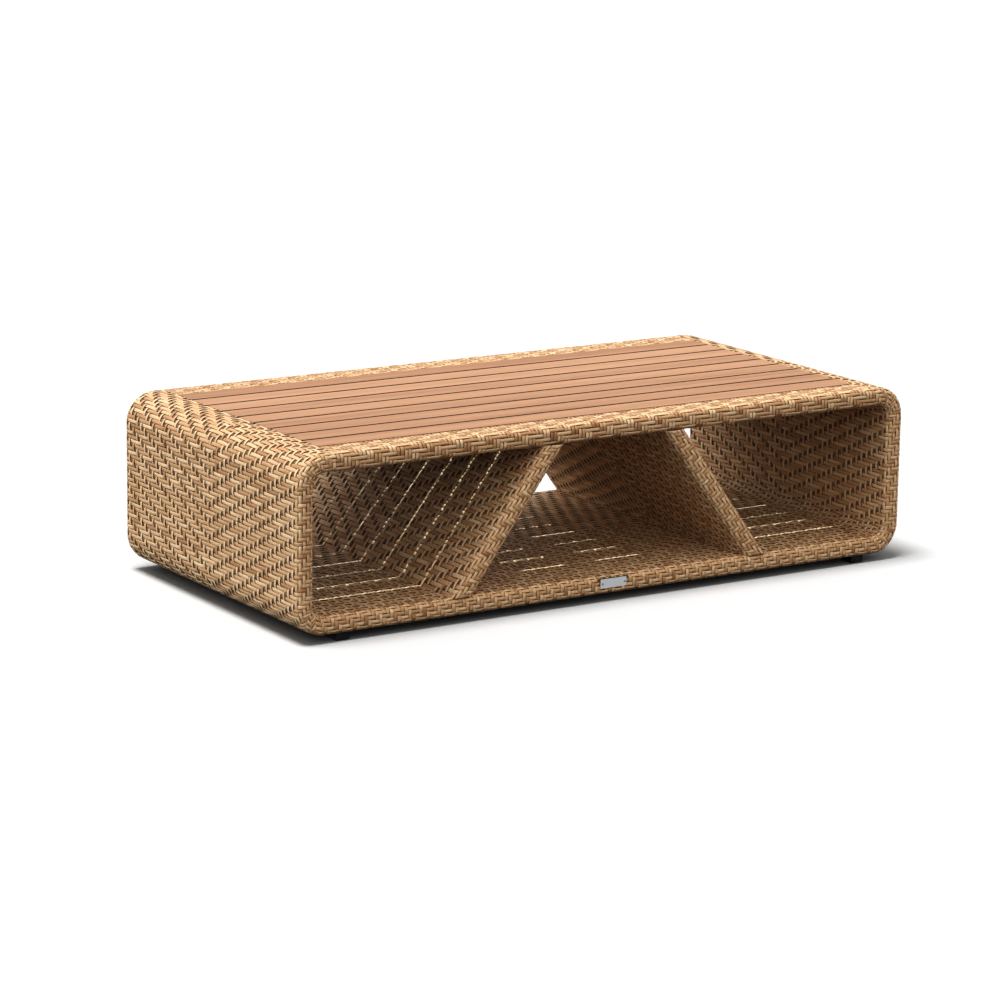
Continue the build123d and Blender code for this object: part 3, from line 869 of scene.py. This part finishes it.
# ---- finishes of the CAD pieces that stay ------------------------------------------------
FINISHES = {
    "screws": "steel",
    "rail": "frame",
    "slat_": "teak",
    "batten": "teak",
    "tube": "frame",
    "post": "frame",
    "foot": "foot",
    "rivets": "steel",
    "plate": "plate",
}
FINISH_MATERIALS = {
    "steel": coated_metal_material("screw_steel", linear(196, 196, 200), 0.9),
    "frame": coated_metal_material("frame_coating", linear(92, 70, 52), 0.0),
    "teak": teak_material(),
    "foot": foot_material(),
    "plate": brushed_plate_material(),
}
for node_name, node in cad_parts.items():
    for word, finish in FINISHES.items():
        if word in node_name:
            dress(node, FINISH_MATERIALS[finish])
            break


# ---- floor, light and camera -----------------------------------------------------------------
FLOOR_HALF = 30.0
FLOOR_CORNERS = [(-1, -1), (1, -1), (1, 1), (-1, 1)]
floor_mesh = bpy.data.meshes.new("floor")
floor_points = [(x * FLOOR_HALF, y * FLOOR_HALF, 0) for x, y in FLOOR_CORNERS]
floor_mesh.from_pydata(floor_points, [], [(0, 1, 2, 3)])
floor = linked_object("floor", floor_mesh)
dress(floor, floor_material())
floor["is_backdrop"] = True


CONTRAST_GAMMA = 0.75          # the picture's shadows are deepened a little
WORLD_FILL = 0.14
COOL = (0.72, 0.86, 1.0)
COOLER = (0.66, 0.84, 1.0)
PALE_BLUE = (0.85, 0.95, 1.0)
WHITE = (1.0, 1.0, 1.0)
DOWN = (0.0, 0.0, -1.0)
TENT_SPREAD = 170              # degrees: light from nearly the whole sky
LAMP_PLACE = (0.0, -0.17, 1.8)
LAMP_SIZE = 0.008
SUN_PLACE = (0.0, 0.0, 3.0)


def studio_world():
    """White backdrop to the camera, and a weaker even fill for everything else."""
    world = bpy.data.worlds.new("studio")
    world.use_nodes = True
    tree = world.node_tree
    background = tree.nodes["Background"]
    background.inputs["Color"].default_value = (*WHITE, 1.0)
    path = tree.nodes.new("ShaderNodeLightPath")
    strength = tree.nodes.new("ShaderNodeMapRange")
    strength.inputs["To Min"].default_value = WORLD_FILL
    strength.inputs["To Max"].default_value = 1.0
    tree.links.new(path.outputs["Is Camera Ray"], strength.inputs["Value"])
    tree.links.new(strength.outputs[0], background.inputs["Strength"])
    bpy.context.scene.world = world


def collection_of(name, things):
    """A collection that holds these objects, for light linking."""
    made = bpy.data.collections.new(name)
    for thing in things:
        made.objects.link(thing)
    return made


def place_light(name, data, place, direction, lit):
    """Put a light in the scene, shining on the objects of one collection."""
    light = bpy.data.objects.new(name, data)
    light.location = place
    light.rotation_mode = "QUATERNION"
    light.rotation_quaternion = Vector(direction).to_track_quat("-Z", "Y")
    light.light_linking.receiver_collection = lit
    bpy.context.scene.collection.objects.link(light)


def soft_sun(name, direction, spread, power, colour, lit):
    """Even soft light from one side, like a large softbox far away, on some objects only."""
    data = bpy.data.lights.new(name, "SUN")
    data.angle = math.radians(spread)
    data.energy = power
    data.color = colour
    place_light(name, data, SUN_PLACE, direction, lit)


def small_lamp(name, power, lit):
    """Small bright lamp above, which draws the gaps between the slats on the deck."""
    data = bpy.data.lights.new(name, "POINT")
    data.energy = power
    data.color = COOLER
    data.shadow_soft_size = LAMP_SIZE
    place_light(name, data, LAMP_PLACE, DOWN, lit)


def light_table():
    """Tent above, softbox on the left, and the lamp, which is stronger on what lies under the top."""
    table = collection_of("table_things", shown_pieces())
    below_top = collection_of("below_top_things", [
        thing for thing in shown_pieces()
        if thing.name.startswith(("deck_weave", "ring_lining")) or "_divider_" in thing.name
    ])
    small_lamp("overhead_lamp", power=22.0, lit=table)
    small_lamp("deck_lamp", power=230.0, lit=below_top)
    soft_sun("overhead_tent", DOWN, spread=TENT_SPREAD, power=3.55, colour=WHITE, lit=table)
    soft_sun("left_softbox", (0.95, -0.1, -0.4), spread=45, power=2.0, colour=COOL, lit=table)


def light_floor():
    """Lights of the floor alone: one that casts the table's shadow, and a tent."""
    ground = collection_of("floor_things", [floor])
    soft_sun("floor_softbox", (0.22, 0.0, -1.0), spread=22, power=2.45, colour=WHITE, lit=ground)
    soft_sun("floor_tent", DOWN, spread=TENT_SPREAD, power=0.65, colour=PALE_BLUE, lit=ground)


studio_world()
light_table()
light_floor()

CAMERA_PLACE = (-3.8916, -5.9211, 1.7588)
CAMERA_YAW = math.radians(33.032)
CAMERA_PITCH = math.radians(12.949)
CAMERA_ROLL = math.radians(0.865)
CAMERA_LENS = 131.26


def add_camera():
    """Camera turned by yaw from +Y towards +X, pitched down and rolled a little."""
    yaw, pitch = CAMERA_YAW, CAMERA_PITCH
    ahead = Vector((math.sin(yaw) * math.cos(pitch), math.cos(yaw) * math.cos(pitch), -math.sin(pitch)))
    right = Vector((math.cos(yaw), -math.sin(yaw), 0.0))
    up = right.cross(ahead)
    rolled_right = math.cos(CAMERA_ROLL) * right + math.sin(CAMERA_ROLL) * up
    rolled_up = math.cos(CAMERA_ROLL) * up - math.sin(CAMERA_ROLL) * right
    data = bpy.data.cameras.new("camera")
    data.lens = CAMERA_LENS
    data.clip_end = 200.0
    camera = bpy.data.objects.new("camera", data)
    turn = Matrix((rolled_right, rolled_up, -ahead)).transposed().to_4x4()
    camera.matrix_world = Matrix.Translation(CAMERA_PLACE) @ turn
    bpy.context.scene.collection.objects.link(camera)
    bpy.context.scene.camera = camera


add_camera()
bpy.context.scene.view_settings.view_transform = "Standard"
bpy.context.scene.view_settings.gamma = CONTRAST_GAMMA
